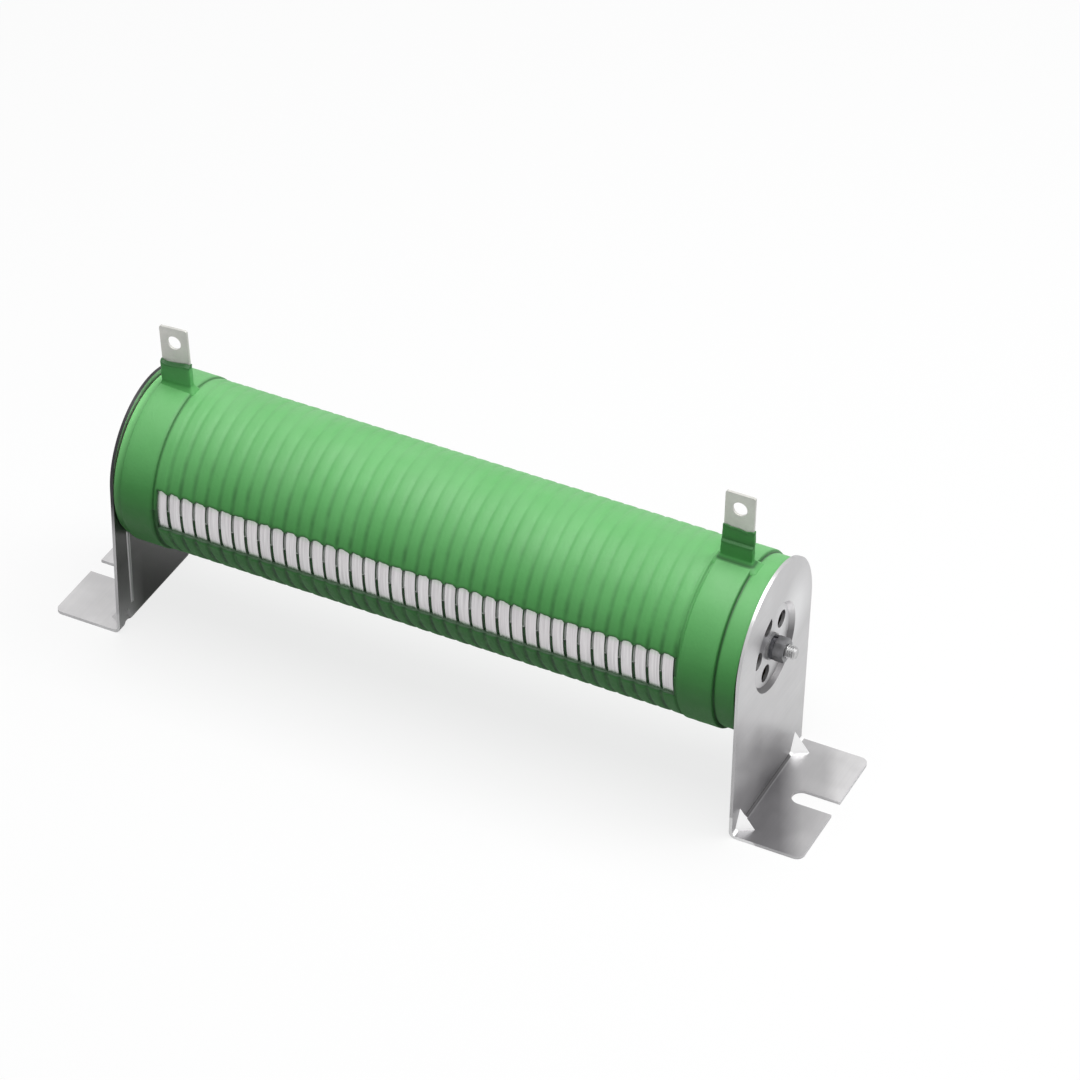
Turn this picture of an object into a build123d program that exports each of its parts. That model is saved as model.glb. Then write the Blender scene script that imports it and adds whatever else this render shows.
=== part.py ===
from build123d import *
import math
import os

os.makedirs("parts", exist_ok=True)

# A tubular braking resistor on two folded end brackets. Millimetres.
# X runs along the tube towards the end whose nut shows, -Y is the side with the bare strip, +Z is up.
# The origin lies under the middle of the tube, at the level of the brackets' feet.

# Ceramic tube
tube_length = 243.6
tube_diameter = 60.0
tube_bore = 35.0
axis_height = 64.0  # tube's axis above the surface that the feet stand on

# Resistance ribbon, wound flat on the tube as a right-handed helix
ribbon_gap = 1.19  # between neighbouring turns
ribbon_thickness = 0.6
turns_in_window = 39
turns_under_band = 2  # the ribbon goes on under each terminal band

# Terminal bands: a strap round the tube, whose two ends stand up as ears
band_width = 12.5
band_thickness = 1.0
band_clearance = 0.05  # between the band and the ribbon inside it
end_left = 3.56  # from the tube's end to the band
end_right = 8.08
band_gap_left = 0.7  # from the band to the bare turns
band_gap_right = 1.9
ear_gap = 0.1
ear_width = 11.2
short_ear_rise = 7.75  # above the band
lug_hole_rises = (18.75, 22.35)  # left and right, above the band
lug_leans = (-4.0, 0.0)  # degrees, left and right, along the tube
lug_hole = 5.5
lug_tip = 6.1  # from the hole's middle to the tip
lug_corner = 0.8

# Green coating
coat_clearance = 0.05
coat_on_tube = 1.5
coat_on_ribbon = 1.4
coat_on_band = 0.95
coat_slope = 0.6  # length of the slope beside each band
groove_depth = 0.5
groove_width = 1.5
window_height = 17.0
window_lap = 0.9  # the coat covers this much of the first bare turn
sleeve_wall = 0.5  # coat on each side of the ears
sleeve_below_hole = 8.2  # the coat on the lug ends this far below the hole's middle

# End brackets, folded from sheet
sheet = 1.2
bend_radius = 1.5  # inside the fold
bracket_half_width = 30.8
foot_half_width = 30.0
head_rise = 2.5  # middle of the round head above the tube's axis
foot_reach = 26.5  # from the plate's outer face
foot_corner = 3.0
slot_width = 7.6
slot_depth = 16.7
dish_depth = 1.8
dish_slope = 1.4  # how much narrower the floor is than the rim
dish_clearance = 0.5  # between the dish and the end of the tube's bore
vent_hole = 6.6
vent_count = 5
vent_margin = 1.7  # between the vent holes and the dish's wall
vent_first_angle = 34.7
gusset_offset = 23.6
gusset_rise = 7.5
gusset_run = 6.0
gusset_half_width = 3.8
rib_offset = 21.2  # two low ribs stand on the plate's face towards the tube, middle of their length
rib_bottom = 9.5
rib_top = 41.5
rib_height = 0.5
rib_radius = 1.3
rib_lean = 2.5  # degrees, the ribs spread towards the top

# Gaskets between the tube and the brackets
gasket_thickness = 0.5
gasket_margin = 0.5  # gasket's edge inside the tube's edge

# Through rod and its fasteners
rod_diameter = 5.0
rod_end = 8.0  # beyond the brackets' outer faces
rod_clearance = 0.5  # across the holes in the brackets
rod_chamfer = 0.5
thread_clearance = 0.05
nut_flats = 8.0
nut_height = 4.0
nut_chamfer = 0.4
washer_diameter = 10.0
washer_clearance = 0.3  # across the holes in the washers
washer_thickness = 1.0
spring_diameter = 8.9
spring_thickness = 1.3
spring_slit = 0.8
spring_slit_angle = 20.0

# Worked out from the values above
tube_radius = tube_diameter / 2
bore_radius = tube_bore / 2
ribbon_radius = tube_radius + ribbon_thickness
band_inside = ribbon_radius + band_clearance
band_outside = band_inside + band_thickness
band_left = end_left + band_width / 2 - tube_length / 2
band_right = tube_length / 2 - end_right - band_width / 2
band_places = (band_left, band_right)
groove_start = band_left + band_width / 2 + band_gap_left
groove_end = band_right - band_width / 2 - band_gap_right
ribbon_pitch = (groove_end - groove_start) / turns_in_window
ribbon_width = ribbon_pitch - ribbon_gap
winding_start = groove_start + ribbon_pitch / 2 - turns_under_band * ribbon_pitch
winding_turns = turns_in_window - 1 + 2 * turns_under_band
coat_end = tube_radius + coat_on_tube
coat_ridge = ribbon_radius + coat_on_ribbon
coat_raised = band_outside + coat_on_band
short_ear_top = band_outside + short_ear_rise
lug_holes = [band_outside + rise for rise in lug_hole_rises]
plate_inside = tube_length / 2 + gasket_thickness
plate_outside = plate_inside + sheet
dish_floor = plate_outside - dish_depth
dish_boss = bore_radius - dish_clearance + dish_slope * gasket_thickness / dish_depth
dish_wall = sheet * (math.hypot(dish_depth, dish_slope) - dish_slope) / dish_depth  # keeps the sheet's thickness
dish_rim = dish_boss - dish_wall
vent_circle = dish_rim - dish_slope - vent_margin - vent_hole / 2
rod_hole = rod_diameter + rod_clearance
washer_hole = rod_diameter + washer_clearance
lugs = list(zip(band_places, lug_holes, lug_leans))
sides = ("left", "right")


def ring(outer, inner, start, length):
    """A plain ring round the tube's axis, from start along X."""
    profile = Pos(start + length / 2, (outer + inner) / 2) * Rectangle(length, outer - inner)
    return revolve(profile, axis=Axis.X)


def along_tube(shape, start):
    """Turn what runs up Z into what runs along X from start, with its +X side at the front (-Y)."""
    return Pos(start, 0, 0) * Rot(-90, 0, 0) * Rot(0, 90, 0) * shape


def stand(shape, place, lean):
    """Move what stands at x = 0 to its place on the tube, leaning about the band's top."""
    pivot = Pos(place, 0, band_outside) * Rot(0, lean, 0)
    return pivot * Pos(0, 0, -band_outside) * shape


def make_core():
    """The ceramic tube."""
    return ring(tube_radius, bore_radius, -tube_length / 2, tube_length)


def make_ribbon():
    """One flat strip swept along a helix that lies on the tube."""
    middle = tube_radius + ribbon_thickness / 2
    path = Helix(pitch=ribbon_pitch, height=winding_turns * ribbon_pitch, radius=middle)
    start = Plane(origin=path @ 0, x_dir=(1, 0, 0), z_dir=path % 0)
    strip = sweep(start * Rectangle(ribbon_thickness, ribbon_width), path=path, is_frenet=True)
    return along_tube(strip, winding_start)


def make_band(place, hole_height, lean):
    """A strap round the winding's end, its two ends bent up into a short ear and a lug with a hole."""
    strap = ring(band_outside, band_inside, place - band_width / 2, band_width)
    tip = hole_height + lug_tip
    root = band_inside
    front = Pos(0, -(ear_gap + band_thickness) / 2, (root + short_ear_top) / 2)
    short_ear = front * Box(ear_width, band_thickness, short_ear_top - root)
    outline = Pos(0, (root + tip) / 2) * Rectangle(ear_width, tip - root)
    outline = fillet(outline.vertices().group_by(Axis.Y)[-1], lug_corner)
    outline -= Pos(0, hole_height) * Circle(lug_hole / 2)
    behind = Pos(0, ear_gap / 2 + band_thickness, 0) * Rot(90, 0, 0)
    lug = behind * extrude(outline, band_thickness)
    ears = stand(short_ear + lug, place, lean) - ring(root, bore_radius, place - band_width, 2 * band_width)
    split = Pos(place, 0, tube_radius) * Box(2 * band_width, ear_gap, tube_radius / 2)
    return strap + ears - split


def coat_outside():
    """The coat's outer form, raised over the bands and the turns, as a solid of revolution."""
    half = tube_length / 2
    edge = band_width / 2
    outline = Polyline(
        (-half, 0),
        (-half, coat_end),
        (band_left - edge - coat_slope, coat_end),
        (band_left - edge, coat_raised),
        (band_left + edge, coat_raised),
        (band_left + edge + coat_slope, coat_ridge),
        (band_right - edge - coat_slope, coat_ridge),
        (band_right - edge, coat_raised),
        (band_right + edge, coat_raised),
        (band_right + edge + coat_slope, coat_end),
        (half, coat_end),
        (half, 0),
        close=True,
    )
    return revolve(make_face(outline), axis=Axis.X)


def coat_inside():
    """The room for the tube, the winding and the bands inside the coat."""
    far = tube_length  # past both ends
    reach = band_width / 2 + coat_clearance
    on_tube = tube_radius + coat_clearance
    on_ribbon = ribbon_radius + coat_clearance
    on_band = band_outside + coat_clearance
    outline = Polyline(
        (-far, 0),
        (-far, on_tube),
        (band_left - reach, on_tube),
        (band_left - reach, on_band),
        (band_left + reach, on_band),
        (band_left + reach, on_ribbon),
        (band_right - reach, on_ribbon),
        (band_right - reach, on_band),
        (band_right + reach, on_band),
        (band_right + reach, on_tube),
        (far, on_tube),
        (far, 0),
        close=True,
    )
    return revolve(make_face(outline), axis=Axis.X)


def coat_groove():
    """The V-shaped valley between the raised turns, swept along the ribbon's gaps."""
    over = groove_depth  # how far the cutter stands out of the coat
    half_top = groove_width / 2 * (groove_depth + over) / groove_depth
    path = Helix(pitch=ribbon_pitch, height=turns_in_window * ribbon_pitch, radius=coat_ridge)
    start = Plane(origin=path @ 0, x_dir=(1, 0, 0), z_dir=path % 0)
    valley = Polygon((-groove_depth, 0), (over, half_top), (over, -half_top), align=None)
    return along_tube(sweep(start * valley, path=path, is_frenet=True), groove_start)


def ear_sleeve(place, hole_height, lean):
    """The coat that was brushed up the ears, stepped where the short ear ends."""
    wide = ear_width + 2 * sleeve_wall
    top = hole_height - sleeve_below_hole
    step = short_ear_top + sleeve_wall
    ears = ear_gap / 2 + band_thickness + sleeve_wall
    root = tube_radius
    low = Pos(0, 0, (root + step) / 2) * Box(wide, 2 * ears, step - root)
    front = sleeve_wall - ear_gap / 2
    high = Pos(0, (ears - front) / 2, (root + top) / 2) * Box(wide, ears + front, top - root)
    return stand(low + high, place, lean)


def ear_room(place, hole_height, lean):
    """The space that the ears take up inside the coat."""
    wide = ear_width + 2 * coat_clearance
    tall = hole_height - band_inside
    half = ear_gap / 2 + band_thickness + coat_clearance
    room = Pos(0, half / 2, band_inside + tall / 2) * Box(wide, half, tall)
    short = short_ear_top + coat_clearance - band_inside
    room += Pos(0, -half / 2, band_inside + short / 2) * Box(wide, half, short)
    return stand(room, place, lean)


def coat_window():
    """What is left open along the front, down to the bare turns."""
    start = groove_start + window_lap
    long = groove_end - start
    return Pos(start + long / 2, -coat_ridge, 0) * Box(long, tube_radius / 2, window_height)


def make_coat():
    """One fired skin over tube, winding and bands, with grooved turns and a bare window."""
    coat = coat_outside()
    for lug in lugs:
        coat += ear_sleeve(*lug)
    coat -= coat_inside()
    for lug in lugs:
        coat -= ear_room(*lug)
    return coat - coat_groove() - coat_window()


def bracket_blank():
    """The folded sheet before its holes: a round-headed plate and a foot, with a round fold."""
    top = axis_height + head_rise + bracket_half_width
    far = plate_outside + foot_reach
    side = Polyline(
        (plate_inside, top), (plate_inside, 0), (far, 0), (far, sheet), (plate_outside, sheet),
        (plate_outside, top), close=True,
    )
    outline = make_face(side)
    inner = outline.vertices().sort_by_distance((plate_outside, sheet))[0]
    outline = fillet(inner, bend_radius)
    outer = outline.vertices().sort_by_distance((plate_inside, 0))[0]
    outline = fillet(outer, bend_radius + sheet)
    return Rot(90, 0, 0) * extrude(outline, bracket_half_width, both=True)


def plate_outline():
    """The plate seen from the end, from its foot to its round head."""
    head = axis_height + head_rise
    edge = Polyline(
        (-bracket_half_width, head), (-foot_half_width, 0), (foot_half_width, 0),
        (bracket_half_width, head),
    )
    arc = ThreePointArc(
        (bracket_half_width, head), (0, head + bracket_half_width), (-bracket_half_width, head)
    )
    return make_face([*edge.edges(), arc])


def foot_outline():
    """The foot seen from above, with rounded outer corners and an open slot."""
    far = plate_outside + foot_reach
    long = far - plate_inside
    foot = Pos((plate_inside + far) / 2, 0) * Rectangle(long, 2 * foot_half_width)
    foot = fillet(foot.vertices().group_by(Axis.X)[-1], foot_corner)
    slot_end = far - slot_depth + slot_width / 2
    slot = Pos(slot_end, 0) * Circle(slot_width / 2)
    slot += Pos((slot_end + far) / 2, 0) * Rectangle(far - slot_end, slot_width)
    return foot - slot


def gusset(offset, shift):
    """A four-sided punch mark in the fold, shifted towards the fold's outside by shift."""
    wall = plate_outside - shift
    floor = sheet - shift
    peak = (wall, offset, floor + gusset_rise)
    corners = [(wall, offset - gusset_half_width, floor), (wall, offset + gusset_half_width, floor)]
    base = make_face(Polyline(*corners, peak, close=True))
    return loft([base, Vertex(wall + gusset_run, offset, floor)])


def rib(side):
    """A round-ended rib up the plate's inner face: the part of a bar that stands out of the sheet."""
    long = rib_top - rib_bottom
    bar = Cylinder(rib_radius, long)
    for end in (-long / 2, long / 2):
        bar += Pos(0, 0, end) * Sphere(rib_radius)
    crest = plate_inside - rib_height
    bar = Rot(-side * rib_lean, 0, 0) * bar
    bar = Pos(crest + rib_radius, side * rib_offset, rib_bottom + long / 2) * bar
    room = Pos(plate_inside, 0, axis_height) * Box(sheet, 4 * foot_half_width, 4 * axis_height)
    return bar & room


def dish(rim, floor_radius, start, depth):
    """A shallow tapered plug, widest at start and pressed towards the middle of the tube."""
    profile = Polyline((start, 0), (start, rim), (start - depth, floor_radius), (start - depth, 0), close=True)
    return Pos(0, 0, axis_height) * revolve(make_face(profile), axis=Axis.X)


def make_bracket():
    """The right bracket; the left one is the same piece turned round."""
    blank = bracket_blank()
    upright = Rot(0, 0, 90) * Rot(90, 0, 0) * plate_outline()
    plate_room = extrude(upright, sheet * 2 + bend_radius, dir=(1, 0, 0))
    plate_room = Pos(plate_inside - sheet, 0, 0) * plate_room
    foot_room = extrude(foot_outline(), sheet)
    foot_room = foot_room & Pos(plate_outside + foot_reach / 2 + bend_radius, 0, 0) * Box(
        foot_reach, 4 * foot_half_width, 4 * sheet
    )
    bracket = blank & (plate_room + foot_room)
    for side in (-1, 1):
        bracket -= gusset(side * gusset_offset, sheet)
        bracket += gusset(side * gusset_offset, 0)
        bracket += rib(side)
    bracket += dish(dish_boss, dish_boss - dish_slope, plate_inside, dish_depth)
    bracket -= dish(dish_rim, dish_rim - dish_slope, plate_outside, dish_depth)
    through = Rot(0, 90, 0) * Cylinder(rod_hole / 2, 4 * tube_length)
    for number in range(vent_count):
        turn = vent_first_angle + number * 360 / vent_count
        hole = Pos(0, vent_circle, 0) * Rot(0, 90, 0) * Cylinder(vent_hole / 2, 4 * tube_length)
        through += Rot(turn, 0, 0) * hole
    return bracket - Pos(0, 0, axis_height) * through


def make_gasket():
    """A thin ring between the tube's end and the right bracket."""
    inside = dish_boss + dish_clearance
    return ring(tube_radius - gasket_margin, inside, tube_length / 2, gasket_thickness)


def make_rod():
    """The rod that draws the two brackets against the tube."""
    half = plate_outside + rod_end
    rod = Rot(0, 90, 0) * Cylinder(rod_diameter / 2, 2 * half)
    ends = rod.faces().filter_by(Axis.X).edges()
    return chamfer(ends, rod_chamfer)


def make_washer():
    """The flat washer on the right dish's floor."""
    return ring(washer_diameter / 2, washer_hole / 2, dish_floor, washer_thickness)


def make_spring_washer():
    """The split spring washer between the flat washer and the nut."""
    start = dish_floor + washer_thickness
    whole = ring(spring_diameter / 2, washer_hole / 2, start, spring_thickness)
    slit = Box(4 * spring_thickness, spring_slit, spring_diameter)
    place = Pos(start + spring_thickness / 2, 0, spring_diameter / 2) * Rot(0, 0, spring_slit_angle)
    return whole - place * slit


def make_nut():
    """A hexagon nut with its corners bevelled, two flats facing up and down."""
    start = dish_floor + washer_thickness + spring_thickness
    corner = nut_flats / math.sqrt(3)
    hexagon = Pos(start, 0, 0) * Rot(0, 90, 0) * RegularPolygon(
        nut_flats / 2, 6, major_radius=False, rotation=30
    )
    prism = extrude(hexagon, nut_height, dir=(1, 0, 0))
    inner = corner - nut_chamfer
    rise = nut_chamfer / math.sqrt(3)
    turned = Polyline(
        (start, 0), (start, inner), (start + rise, corner), (start + nut_height - rise, corner),
        (start + nut_height, inner), (start + nut_height, 0), close=True,
    )
    nut = prism & revolve(make_face(turned), axis=Axis.X)
    return nut - ring(rod_diameter / 2 + thread_clearance, 0, start, nut_height)


def save(shape, name):
    """Lift a piece from the tube's axis to its height and write it."""
    lifted = Pos(0, 0, axis_height) * shape
    lifted.label = name
    export_step(lifted, f"parts/{name}.step")


save(make_core(), "ceramic_core")
save(make_ribbon(), "resistance_ribbon")
save(make_coat(), "green_coating")
save(make_rod(), "through_rod")
for side, lug in zip(sides, lugs):
    save(make_band(*lug), f"terminal_band_{side}")
end_pieces = {
    "end_gasket": make_gasket(),
    "flat_washer": make_washer(),
    "spring_washer": make_spring_washer(),
    "nut": make_nut(),
    "end_bracket": Pos(0, 0, -axis_height) * make_bracket(),
}
for name, piece in end_pieces.items():
    save(Rot(0, 0, 180) * piece, f"{name}_left")
    save(piece, f"{name}_right")
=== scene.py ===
# %% [markdown]
# # A braking resistor, dressed for its picture
# The solids of this resistor come from a CAD model: a ceramic tube, a flat metal ribbon wound round it, a
# green fired coat, two terminal bands with standing lugs, and two folded brackets drawn together by a
# long rod. This script gives them their looks. Most solids only get a finish. Three, whose charm lies in
# soft or very fine forms, are worked out anew with numpy: the coat, the ribbon and the threaded rod.

# %% Load the solids
import math
from types import SimpleNamespace

import bpy
import numpy as np
from mathutils import Matrix, Vector


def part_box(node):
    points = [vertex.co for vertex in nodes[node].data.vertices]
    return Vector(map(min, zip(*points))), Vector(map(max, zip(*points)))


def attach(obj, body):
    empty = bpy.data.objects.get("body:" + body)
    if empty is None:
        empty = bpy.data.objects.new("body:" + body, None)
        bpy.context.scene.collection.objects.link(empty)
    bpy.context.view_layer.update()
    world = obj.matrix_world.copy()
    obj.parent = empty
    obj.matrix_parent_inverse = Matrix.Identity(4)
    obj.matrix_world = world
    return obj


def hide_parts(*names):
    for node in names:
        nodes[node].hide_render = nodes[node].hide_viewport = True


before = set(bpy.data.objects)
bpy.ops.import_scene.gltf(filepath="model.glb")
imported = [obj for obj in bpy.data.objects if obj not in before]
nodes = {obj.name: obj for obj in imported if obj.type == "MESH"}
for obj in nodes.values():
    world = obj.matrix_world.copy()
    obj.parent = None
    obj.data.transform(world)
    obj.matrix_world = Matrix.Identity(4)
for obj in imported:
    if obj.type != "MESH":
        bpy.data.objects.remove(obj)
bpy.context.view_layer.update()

# %% [markdown]
# ## The measures that the pieces share
# Everything is worked out in millimetres round the tube's axis, because that is how a resistor is drawn,
# and becomes metres only in the mesh. The tube's size and the bands' places are read off the solids, so
# the new pieces sit on them without any fitting. A turn is an angle round the axis: 0 is the middle of
# the bare strip at the front, and a quarter turn on is the underside.

# %% Shared measures
MM = 0.001
full_turn = 2 * np.pi
tube_low, tube_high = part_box("ceramic_core")
axis_height = (tube_low.z + tube_high.z) / 2 / MM
tube_radius = (tube_high.z - tube_low.z) / 2 / MM
tube_half = tube_high.x / MM
half_band = 12.5 / 2
band_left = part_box("terminal_band_left")[1].x / MM - half_band
band_right = (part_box("terminal_band_right")[0].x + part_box("terminal_band_right")[1].x) / 2 / MM
turns = 39
winding_start = band_left + half_band + 0.7
winding_end = band_right - half_band - 1.9
pitch = (winding_end - winding_start) / turns
ribbon_gap = 1.19
ribbon_width = pitch - ribbon_gap
ribbon_thickness = 0.6
window_half = 8.6
window_start = winding_start + 0.9
window_end = winding_end
print(f"axis at {axis_height:.2f}, radius {tube_radius:.2f}, pitch {pitch:.3f}, ribbon {ribbon_width:.2f}")

# %% [markdown]
# ## From a grid of points to a mesh
# A surface is a table of points, rows and columns, and each four neighbours make a face. If the table is
# closed in a direction, its last line is joined to its first. The sign of the volume that the faces
# enclose tells whether they look outwards; if it is negative every face is turned round.

# %% Grid to mesh
sharp_angle = 40


def in_scene(name, data):
    """A new object in the scene that shows data: a mesh, a lamp or a camera."""
    thing = bpy.data.objects.new(name, data)
    bpy.context.scene.collection.objects.link(thing)
    return thing


def skin(name, points, wrap_rows=False, caps=False, fields=None):
    """Object whose vertices are points[row, column], in mm round the axis; each four neighbours are a face.

    The columns close into a ring. wrap_rows closes the rows too, and caps puts a flat face on the first and
    the last row. fields holds one number per point."""
    rows, columns = points.shape[:2]
    number = np.arange(rows * columns).reshape(rows, columns)
    across = np.hstack([number, number[:, :1]])
    both = np.vstack([across, across[:1]]) if wrap_rows else across
    corners = (both[:-1, :-1], both[:-1, 1:], both[1:, 1:], both[1:, :-1])
    quads = np.stack(corners, axis=-1).reshape(-1, 4)
    place = points.reshape(-1, 3)
    middle = place.mean(axis=0)
    a, b, c, d = (place[quads[:, k]] - middle for k in range(4))
    volume = (np.einsum("ij,ij->i", a, np.cross(b, c)) + np.einsum("ij,ij->i", a, np.cross(c, d))).sum()
    faces = quads.tolist()
    if caps:
        faces.append(number[0, ::-1].tolist())
        faces.append(number[-1].tolist())
    if volume < 0:
        faces = [face[::-1] for face in faces]
    mesh = bpy.data.meshes.new(name)
    lifted = (place + (0, 0, axis_height)) * MM
    mesh.from_pydata(lifted.tolist(), [], faces)
    mesh.shade_smooth()
    mesh.set_sharp_from_angle(angle=math.radians(sharp_angle))
    for field, values in (fields or {}).items():
        layer = mesh.attributes.new(field, "FLOAT", "POINT")
        layer.data.foreach_set("value", np.asarray(values, np.float32).ravel())
    piece = in_scene(name, mesh)
    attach(piece, "root")
    print(f"{name}: {len(mesh.vertices)} points, {len(faces)} faces, about {2 * len(quads)} triangles")
    return piece


print(f"edges sharper than {sharp_angle} degrees stay sharp")

# %% [markdown]
# ## Steps, bells and ripples
# Soft forms are put together from a few curves. A step leads from one level to another, a bell makes a
# narrow groove, and sine waves in random directions make a brushed surface uneven. The dice are seeded,
# so every run gives the same surface.

# %% Curves
def step(low, high, value):
    """0 below low, 1 above high, and a smooth S between them: 3t^2 - 2t^3."""
    t = np.clip((value - low) / (high - low), 0, 1)
    return t * t * (3 - 2 * t)


def bell(distance, width):
    """1 at distance 0 and soon nothing: exp(-(distance/width)^2)."""
    return np.exp(-((distance / width) ** 2))


def ripple(x, turn, seed):
    """Soft unevenness from about -1 to 1: a sum of sine waves in random directions over the surface."""
    dice = np.random.default_rng(seed)
    waves, loudness = 9, 1.6
    total = np.zeros(np.broadcast(x, turn).shape)
    for _ in range(waves):
        along = dice.uniform(0.3, 7.0) / 30
        around = dice.integers(1, 9)
        total += np.sin(full_turn * along * x + around * turn + dice.uniform(0, 6.28))
    return total / waves ** 0.5 / loudness


print("a step from 0 to 4 at 1, 2 and 3:", step(0, 4, np.array([1, 2, 3])).round(3))

# %% [markdown]
# ## The coat
# On the real part the coat is brushed over the wound tube and fired, so every turn of the ribbon shows
# through as a soft ridge, and the gap between two turns as a valley that climbs round the tube like a
# thread. A strip along the front is kept free. All of that is one number per place: how far the coat's
# surface is from the axis. As a function of the length x and the turn it makes the whole skin in one go.
# Where the strip is bare, the function dives under the tube's own surface.

# %% Coat: valleys and seams
ridge_radius = 32.0
valley_reach = 1.5
seam_offset = half_band + 0.65
seams = ((band_left - seam_offset, 0.3), (winding_start - 0.3, 0.75), (winding_end + 0.6, 0.4),
         (band_right + seam_offset, 1.0))


def gap_number(x, turn):
    """Which gap of the winding a place is at: a whole number in the middle of a gap."""
    return (x - winding_start) / pitch - turn / full_turn


def valley(x, turn):
    """1 in the middle of a gap and 0 on a turn: cos^2 of the distance to the nearest gap."""
    place = gap_number(x, turn)
    nearest = np.clip(np.round(place), 0, turns - 1)
    distance = np.abs(place - nearest) * pitch
    slope = np.cos(np.pi / 2 * np.minimum(distance / valley_reach, 1)) ** 2
    return np.where(distance < valley_reach, slope, 0)


def seam(x):
    """Where the coat sank in beside the bands: bells 0.5 mm wide, each with its own strength."""
    return sum(strength * bell(x - place, 0.5) for place, strength in seams)


print("seams at", [round(float(place), 1) for place, _ in seams])

# %% [markdown]
# ## The bare strip's edge
# The strip's lower edge is straight. At its upper edge the coat ran a little way down each gap before it
# was fired, so it hangs there in tongues. Below them a thin fill lies in the gaps, painted near white: a
# painted highlight where the light from above reaches into the upper gaps.

# %% Coat: the strip's edge
def girth(turn):
    """Distance in mm round the coat from the middle of the strip: positive below it, negative above it."""
    return np.where(turn > np.pi, turn - full_turn, turn) * ridge_radius


def off_gap(x, turn):
    """How far a place is from the nearest gap's middle, as a share of the pitch: -0.5 to 0.5."""
    return (gap_number(x, turn) + 0.5) % 1 - 0.5


def upper_gap_fill(x, turn):
    """1 where a thin fill lies in the gap between two bare turns, in the strip's upper part; it is painted
    near white as a painted highlight.
    """
    place = off_gap(x, turn)
    return (1 - step(-0.4, 0.6, girth(turn))) * step(-0.06, -0.02, place) * (1 - step(0.2, 0.3, place))


def hem(x, turn):
    """How far the coat hangs into the strip at its upper edge: a tongue in each gap, and slow waves.

    With t from 0 on the tongue to 1 on the turn, a tongue is 0.85 (1 - sqrt(1 - (1 - t)^2))."""
    t = np.clip((np.abs(off_gap(x, turn)) * pitch - 0.6) / 1.1, 0, 1)
    return 0.85 * (1 - np.sqrt(1 - (1 - t) ** 2)) + 0.16 * np.sin(1.3 * x) + 0.1 * np.sin(3.1 * x + 1)


def edge_distance(x, turn):
    """How far a place is inside the coat, counted from the strip's edge: negative where the strip is bare."""
    round_tube = girth(turn)
    above = np.abs(round_tube) - window_half + np.where(round_tube < 0, hem(x, turn), 0)
    beside = np.maximum(window_start - x, x - window_end)
    return np.maximum(above, beside)


print(f"bare strip from {window_start:.1f} to {window_end:.1f} mm, {2 * window_half:.1f} mm round the tube")

# %% [markdown]
# ## The coat's distance from the axis
# Now the parts come together: one level for the plain ends, a higher one for the winding and another for
# the bands, soft shoulders between them, less the valleys and the seams, and a rounded drop at the strip.

# %% Coat: distance from the axis
end_radius, winding_lift, band_lift = 31.45, 0.5, 1.0
shoulder = 0.7
bare_radius = tube_radius + 0.06
upper_gap_fill_lift = ribbon_thickness - 0.09


def plateau(low, high, x):
    """1 from low to high, with a shoulder on both sides."""
    return step(low - shoulder, low, x) * (1 - step(high, high + shoulder, x))


def coat_radius(x, turn):
    """Plateaus for the ends, the bands and the winding, less valleys and seams, with a drop at the strip."""
    over_band = sum(plateau(place - half_band, place + half_band, x) for place in (band_left, band_right))
    on_winding = plateau(winding_start, winding_end, x)
    to_end = tube_half - np.abs(x)
    radius = end_radius + winding_lift * on_winding + band_lift * over_band * (1 - on_winding)
    radius = radius - 0.35 * bell(to_end, 0.5) + 0.06 * ripple(x, turn, 3) * step(0.5, 3, to_end)
    valley_depth = 0.36 + 0.1 * np.sin(turn) + 0.08 * ripple(x, turn, 5)
    radius = radius - valley_depth * valley(x, turn) - 0.25 * seam(x)
    inside = edge_distance(x, turn)
    radius = radius - 0.42 * np.clip(1 - inside / 0.7, 0, 1) ** 2
    fall = step(0.0, 0.12, -inside)
    floor = bare_radius + upper_gap_fill_lift * upper_gap_fill(x, turn)
    return radius * (1 - fall) + floor * fall


back_radius = coat_radius(np.linspace(-10, 10, 200), np.full(200, np.pi))
print(f"the coat's back is {back_radius.min():.2f} to {back_radius.max():.2f} mm from the axis")

# %% [markdown]
# ## Where the coat's rows go
# A row runs along the tube. The rows lie evenly round the back, crowd at the strip's two edges, where the
# coat drops within a tenth of a millimetre, and are sparse in the bare strip.

# %% Coat: rows
edge_steps = np.array([-0.14, -0.07, 0.0, 0.05, 0.16, 0.34, 0.7])
bare_girths = np.array([0.0, 0.3, 0.6, 3.0, 5.6, 8.0])
bare_girths_above = np.array([-8.0, -5.6, -3.2, -0.8, -0.4])
edge_turn = window_half / ridge_radius
lower_edge = (window_half + edge_steps) / ridge_radius
first_coated = edge_turn + 1.4 / ridge_radius
turn_rows = np.concatenate([
    bare_girths / ridge_radius, lower_edge, np.linspace(first_coated, full_turn - first_coated, 118),
    full_turn - lower_edge[::-1], full_turn + bare_girths_above / ridge_radius,
])
print(len(turn_rows), "rows round the tube")

# %% [markdown]
# ## Where the coat's columns go
# A regular grid would cut across the valleys and make them look like a saw. So the columns follow them:
# each climbs by one turn's width on its way round, and hurries back inside the bare strip, where nobody
# sees it. Near both ends the climb fans out into plain rings, which crowd at the bands' shoulders.

# %% Coat: columns
def band_rings(place, tail, tail_count):
    """Places of rings over a band: close together at its two shoulders, the second one tail wide."""
    return np.concatenate([
        np.linspace(place - half_band - 0.8, place - half_band + 0.1, 6),
        np.linspace(place - half_band + 2, place + half_band - 1, 5),
        np.linspace(place + half_band - 0.1, place + half_band + tail, tail_count),
    ])


def rings(places):
    """The same places along the tube in every row."""
    return np.repeat(places[None, :], len(turn_rows), axis=0)


def fan(start, end, count):
    """Columns that turn bit by bit from the line start into the line end, both left out."""
    share = np.linspace(0, 1, count)[1:-1]
    return start[:, None] + (end - start)[:, None] * share[None, :]


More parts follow.
